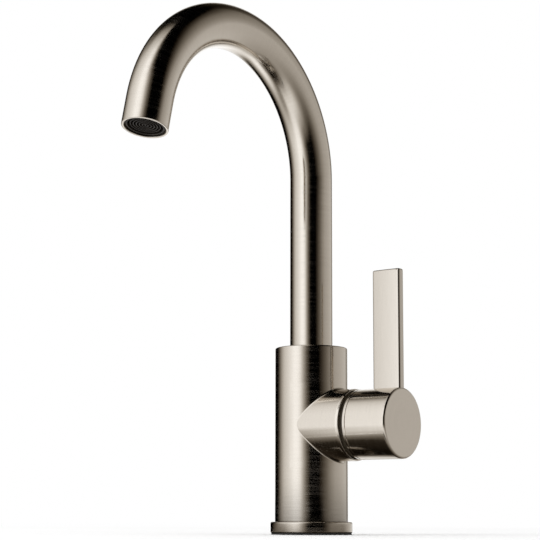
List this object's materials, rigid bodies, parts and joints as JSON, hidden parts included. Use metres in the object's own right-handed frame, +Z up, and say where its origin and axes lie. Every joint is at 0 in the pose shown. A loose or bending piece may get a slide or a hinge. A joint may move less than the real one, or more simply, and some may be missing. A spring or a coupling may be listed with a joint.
{
  "type": "basin mixer tap",
  "caption": "Single-lever basin mixer tap: upright round body, swivelling gooseneck tube spout, and a side valve with a round handle and a flat upright lever.",
  "frame": {"origin": "centre of the gasket's underside, on the deck", "axes": "+Z up along the body's axis, -Y the way the spout points, +X out along the valve's axis"},
  "size_m": [0.0972, 0.2082, 0.331],
  "materials": {
    "nickel_on_brass": "brushed nickel plating",
    "brass": "machined",
    "steel": "machined",
    "rubber": "matt",
    "black_plastic": "matt",
    "white_plastic": "matt",
    "ceramic": "lapped"
  },
  "bodies": {
    "body_casting": {"body": "nickel_on_brass", "base_ring": "nickel_on_brass", "base_gasket": "rubber", "upper_bearing_ring": "black_plastic", "spout_screw": "steel", "cartridge_base": "white_plastic", "port_seals": "rubber", "fixed_disc": "ceramic", "cartridge_casing": "white_plastic", "cartridge_nut": "brass", "dome_collar": "black_plastic"},
    "spout": {"spout_tube": "nickel_on_brass", "spout_mouth": "nickel_on_brass", "spout_foot": "brass", "lower_bearing_ring": "white_plastic", "spout_o_rings": "rubber", "aerator_housing": "black_plastic", "aerator_grille": "black_plastic", "aerator_screens": "steel", "flow_regulator": "white_plastic", "aerator_seal": "rubber"},
    "rotor": {"spindle_carrier": "white_plastic", "pivot_pin": "steel", "carrier_o_ring": "rubber"},
    "slide": {"disc_carrier": "white_plastic", "moving_disc": "ceramic"},
    "handle": {"spindle": "steel", "spindle_sleeve": "white_plastic", "handle_knob": "nickel_on_brass", "lever_bar": "nickel_on_brass", "lever_screws": "steel", "handle_set_screw": "steel", "set_screw_plug": "black_plastic"}
  },
  "joints": [
    {"name": "spout_swivel", "type": "hinge", "parent": "body_casting", "child": "spout", "pos_m": [0, 0, 0.122], "axis": [0, 0, 1], "range_deg": [-55, 55]},
    {"name": "temperature", "type": "hinge", "parent": "body_casting", "child": "rotor", "pos_m": [0.027, 0, 0.07], "axis": [1, 0, 0], "range_deg": [-45, 45]},
    {"name": "flow", "type": "hinge", "parent": "rotor", "child": "handle", "pos_m": [0.027, 0, 0.07], "axis": [0, 1, 0], "range_deg": [0, 22]},
    {"name": "disc_slide", "type": "slide", "parent": "rotor", "child": "slide", "axis": [0, 0, 1], "range_m": [0, 0.0034]}
  ],
  "couplings": [
    {"joint": "disc_slide", "follows": "flow", "m_per_rad": 0.00878}
  ]
}
